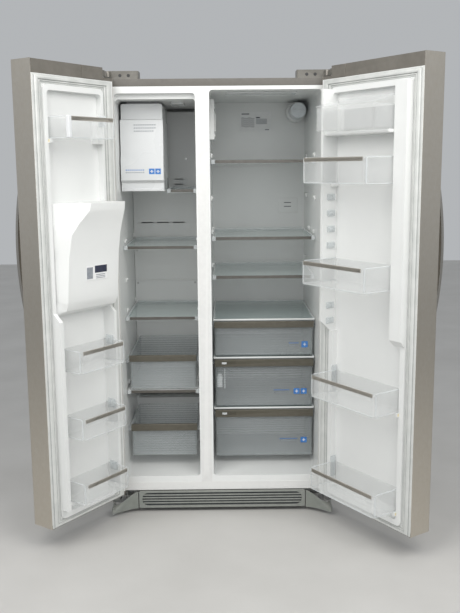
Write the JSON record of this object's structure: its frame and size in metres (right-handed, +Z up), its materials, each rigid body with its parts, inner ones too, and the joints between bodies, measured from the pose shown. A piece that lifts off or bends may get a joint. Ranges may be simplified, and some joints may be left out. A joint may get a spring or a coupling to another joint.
{
  "type": "side by side refrigerator",
  "caption": "Side by side refrigerator with steel doors, an in-door ice and water dispenser, glass shelves, slide-out drawers and clear door bins, standing with both doors open.",
  "frame": {"origin": "on the floor, on the cabinet centre plane, at the plane of the cabinet front flanges", "axes": "+X to the right seen from the front, +Y from the front to the back, +Z up"},
  "size_m": [1.5269, 1.1904, 1.778],
  "materials": {
    "cabinet_paint": "satin",
    "white_liner": "gloss",
    "ice_white": "satin",
    "foam": "matte",
    "white_rail": "satin",
    "zinc_steel": "satin",
    "leg_steel": "satin",
    "dark_plastic": "matte",
    "grey_plastic": "matte",
    "cap_plastic": "satin",
    "black_enamel": "satin",
    "bare_aluminium": "satin",
    "auger_steel": "satin",
    "shelf_glass": "gloss",
    "frame_plastic": "gloss",
    "clear_plastic": "gloss",
    "taupe_trim": "satin",
    "slider_white": "satin",
    "filter_white": "satin",
    "door_steel": "satin",
    "handle_steel": "satin",
    "gasket": "matte",
    "dispenser_grey": "gloss"
  },
  "bodies": {
    "cabinet": {"back_panels": "zinc_steel", "base_frame": "zinc_steel", "cabinet_foam": "foam", "cabinet_wrap": "cabinet_paint", "ceiling_lights": "clear_plastic", "compressor": "black_enamel", "condenser": "black_enamel", "drain_pan": "dark_plastic", "evaporator": "bare_aluminium", "evaporator_cover": "white_liner", "fan_motors": "black_enamel", "freezer_liner": "white_liner", "fridge_housings": "white_liner", "fridge_liner": "white_liner", "front_rails": "white_rail", "hinge_brackets": "zinc_steel", "hinge_covers": "grey_plastic", "ice_housing": "ice_white", "levelling_legs": "leg_steel", "shelf_frames": "frame_plastic", "shelf_glass": "shelf_glass", "slotted_shelf": "white_liner", "toe_grille": "grey_plastic"},
    "rear_roller_left": {"rear_roller_left": "dark_plastic"},
    "rear_roller_right": {"rear_roller_right": "dark_plastic"},
    "condenser_fan": {"condenser_fan_blade": "dark_plastic"},
    "freezer_fan": {"freezer_fan_blade": "dark_plastic"},
    "ice_bin": {"ice_bin": "ice_white"},
    "ice_auger": {"ice_auger": "auger_steel"},
    "upper_basket": {"upper_basket": "clear_plastic", "upper_basket_trim": "taupe_trim"},
    "lower_basket": {"lower_basket": "clear_plastic", "lower_basket_trim": "taupe_trim"},
    "deli_drawer": {"deli_drawer": "clear_plastic", "deli_drawer_trim": "taupe_trim"},
    "upper_crisper": {"upper_crisper": "clear_plastic", "upper_crisper_trim": "taupe_trim"},
    "lower_crisper": {"lower_crisper": "clear_plastic", "lower_crisper_trim": "taupe_trim"},
    "upper_humidity_slider": {"upper_crisper_slider": "slider_white"},
    "lower_humidity_slider": {"lower_crisper_slider": "slider_white"},
    "water_filter": {"water_filter": "filter_white"},
    "freezer_door": {"freezer_door_panel": "door_steel", "freezer_door_caps": "cap_plastic", "freezer_door_foam": "foam", "freezer_door_liner": "white_liner", "freezer_door_gasket": "gasket", "freezer_door_handle": "handle_steel", "freezer_door_bins": "clear_plastic", "dispenser_housing": "dispenser_grey"},
    "chute_flap": {"chute_flap": "white_liner"},
    "dispenser_paddle": {"dispenser_paddle": "white_liner"},
    "fridge_door": {"fridge_door_panel": "door_steel", "fridge_door_caps": "cap_plastic", "fridge_door_foam": "foam", "fridge_door_liner": "white_liner", "fridge_door_gasket": "gasket", "fridge_door_handle": "handle_steel", "fridge_door_bins": "clear_plastic"},
    "dairy_lid": {"dairy_lid": "clear_plastic"}
  },
  "joints": [
    {"name": "freezer_door_hinge", "type": "hinge", "parent": "cabinet", "child": "freezer_door", "pos_m": [-0.4355, -0.048, 0.9], "axis": [0, 0, -1], "range_deg": [-125.4, 4.6]},
    {"name": "fridge_door_hinge", "type": "hinge", "parent": "cabinet", "child": "fridge_door", "pos_m": [0.4355, -0.048, 0.9], "axis": [0, 0, 1], "range_deg": [-123.6, 6.4]},
    {"name": "ice_bin_slide", "type": "slide", "parent": "cabinet", "child": "ice_bin", "axis": [0, -1, 0], "range_m": [0, 0.2]},
    {"name": "upper_basket_slide", "type": "slide", "parent": "cabinet", "child": "upper_basket", "axis": [0, -1, 0], "range_m": [0, 0.215]},
    {"name": "lower_basket_slide", "type": "slide", "parent": "cabinet", "child": "lower_basket", "axis": [0, -1, 0], "range_m": [0, 0.215]},
    {"name": "deli_drawer_slide", "type": "slide", "parent": "cabinet", "child": "deli_drawer", "axis": [0, -1, 0], "range_m": [0, 0.24]},
    {"name": "upper_crisper_slide", "type": "slide", "parent": "cabinet", "child": "upper_crisper", "axis": [0, -1, 0], "range_m": [0, 0.24]},
    {"name": "lower_crisper_slide", "type": "slide", "parent": "cabinet", "child": "lower_crisper", "axis": [0, -1, 0], "range_m": [0, 0.24]},
    {"name": "upper_humidity_slide", "type": "slide", "parent": "upper_crisper", "child": "upper_humidity_slider", "axis": [1, 0, 0], "range_m": [0, 0.034]},
    {"name": "lower_humidity_slide", "type": "slide", "parent": "lower_crisper", "child": "lower_humidity_slider", "axis": [1, 0, 0], "range_m": [0, 0.034]},
    {"name": "ice_auger_spin", "type": "hinge", "parent": "ice_bin", "child": "ice_auger", "pos_m": [-0.3065, 0.25, 1.366], "axis": [0, 1, 0], "continuous": true},
    {"name": "condenser_fan_spin", "type": "hinge", "parent": "cabinet", "child": "condenser_fan", "pos_m": [-0.06, 0.6, 0.165], "axis": [1, 0, 0], "continuous": true},
    {"name": "freezer_fan_spin", "type": "hinge", "parent": "cabinet", "child": "freezer_fan", "pos_m": [-0.242, 0.584, 1.235], "axis": [0, 1, 0], "continuous": true},
    {"name": "rear_roller_left_spin", "type": "hinge", "parent": "cabinet", "child": "rear_roller_left", "pos_m": [-0.411, 0.61, 0.026], "axis": [1, 0, 0], "continuous": true},
    {"name": "rear_roller_right_spin", "type": "hinge", "parent": "cabinet", "child": "rear_roller_right", "pos_m": [0.411, 0.61, 0.026], "axis": [1, 0, 0], "continuous": true},
    {"name": "water_filter_turn", "type": "hinge", "parent": "cabinet", "child": "water_filter", "pos_m": [0.35, 0.54, 1.655], "axis": [0, 1, 0], "range_deg": [0, 90]},
    {"name": "dispenser_paddle_hinge", "type": "hinge", "parent": "freezer_door", "child": "dispenser_paddle", "pos_m": [-0.52699, -0.194, 1.096], "axis": [-0.5793, -0.8151, 0], "range_deg": [0, 6]},
    {"name": "chute_flap_hinge", "type": "hinge", "parent": "freezer_door", "child": "chute_flap", "pos_m": [-0.57426, -0.1604, 1.146], "axis": [0.5793, 0.8151, 0], "range_deg": [0, 60]},
    {"name": "dairy_lid_hinge", "type": "hinge", "parent": "fridge_door", "child": "dairy_lid", "pos_m": [0.52613, -0.26392, 1.65], "axis": [-0.5534, 0.8329, 0], "range_deg": [0, 36]}
  ],
  "couplings": [
    {"joint": "chute_flap_hinge", "follows": "dispenser_paddle_hinge", "ratio": 10}
  ]
}
